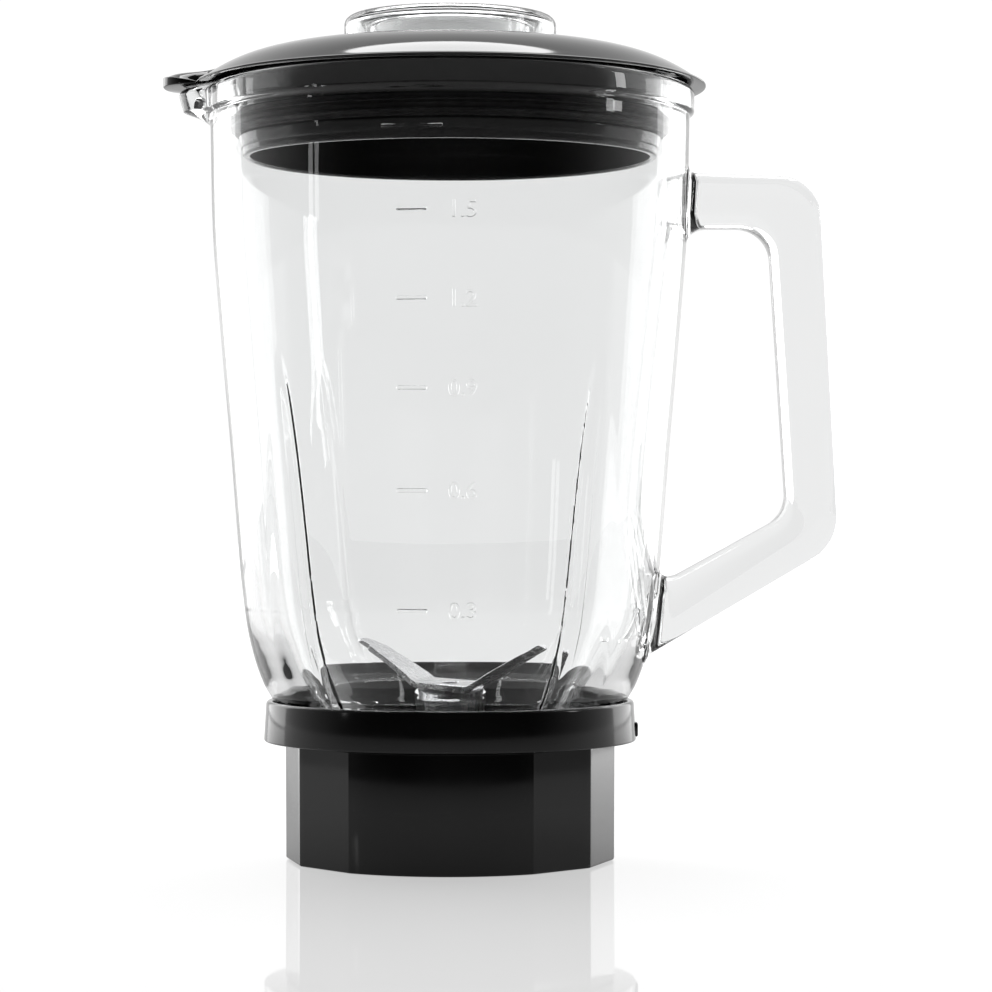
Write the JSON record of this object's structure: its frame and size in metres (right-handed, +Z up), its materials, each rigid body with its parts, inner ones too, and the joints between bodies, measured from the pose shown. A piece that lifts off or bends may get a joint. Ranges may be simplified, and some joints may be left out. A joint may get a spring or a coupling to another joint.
{
  "type": "blender jug",
  "caption": "Tall glass blender jug with a handle and flutes, a dome lid with a clear filler cap, and a screw-on black base that holds the blade.",
  "frame": {"origin": "on the drive axis, in the plane of the base's bottom rim", "axes": "+Z up the drive axis, +X towards the handle, -X towards the pouring lip, -Y the front with the scale"},
  "size_m": [0.1918, 0.146, 0.2403],
  "materials": {
    "glass": "clear pressed glass, polished, slightly uneven",
    "clear_plastic": "clear moulded plastic, glossy",
    "gloss_black": "glossy black moulding",
    "satin_black": "black moulding with a soft sheen",
    "rubber": "matt black rubber",
    "steel": "stainless steel, brushed and lightly polished",
    "bronze": "sintered bearing bronze"
  },
  "bodies": {
    "base": {"base_skirt": "satin_black", "base_collar": "satin_black", "blade_carrier": "satin_black", "carrier_oring": "rubber", "upper_bush": "bronze", "lower_bush": "bronze", "shaft_seal": "rubber", "base_screw_1": "steel", "base_screw_2": "steel", "base_screw_3": "steel"},
    "gasket_carrier": {"jug_gasket": "rubber"},
    "jug": {"glass_jug": "glass"},
    "lid": {"lid": "gloss_black", "lid_seal": "rubber"},
    "cap": {"filler_cap": "clear_plastic"},
    "blade_unit": {"blade_shaft": "steel", "cutting_blade": "steel", "blade_hub": "steel", "hub_washer": "steel", "thrust_washer": "steel", "retaining_clip": "steel", "drive_coupling": "steel"}
  },
  "joints": [
    {"name": "jug_rise", "type": "slide", "parent": "base", "child": "gasket_carrier", "axis": [0, 0, 1], "range_m": [0, 0.004]},
    {"name": "jug_twist", "type": "hinge", "parent": "gasket_carrier", "child": "jug", "pos_m": [0, 0, 0.0215], "axis": [0, 0, 1], "range_deg": [0, 60]},
    {"name": "lid_lift", "type": "slide", "parent": "jug", "child": "lid", "axis": [0, 0, 1], "range_m": [0, 0.05]},
    {"name": "cap_lift", "type": "slide", "parent": "lid", "child": "cap", "axis": [0, 0, 1], "range_m": [0, 0.035]},
    {"name": "blade_spin", "type": "hinge", "parent": "base", "child": "blade_unit", "pos_m": [0, 0, 0.0456], "axis": [0, 0, 1], "continuous": true}
  ],
  "couplings": [
    {"joint": "jug_rise", "follows": "jug_twist", "m_per_rad": 0.0038197}
  ]
}
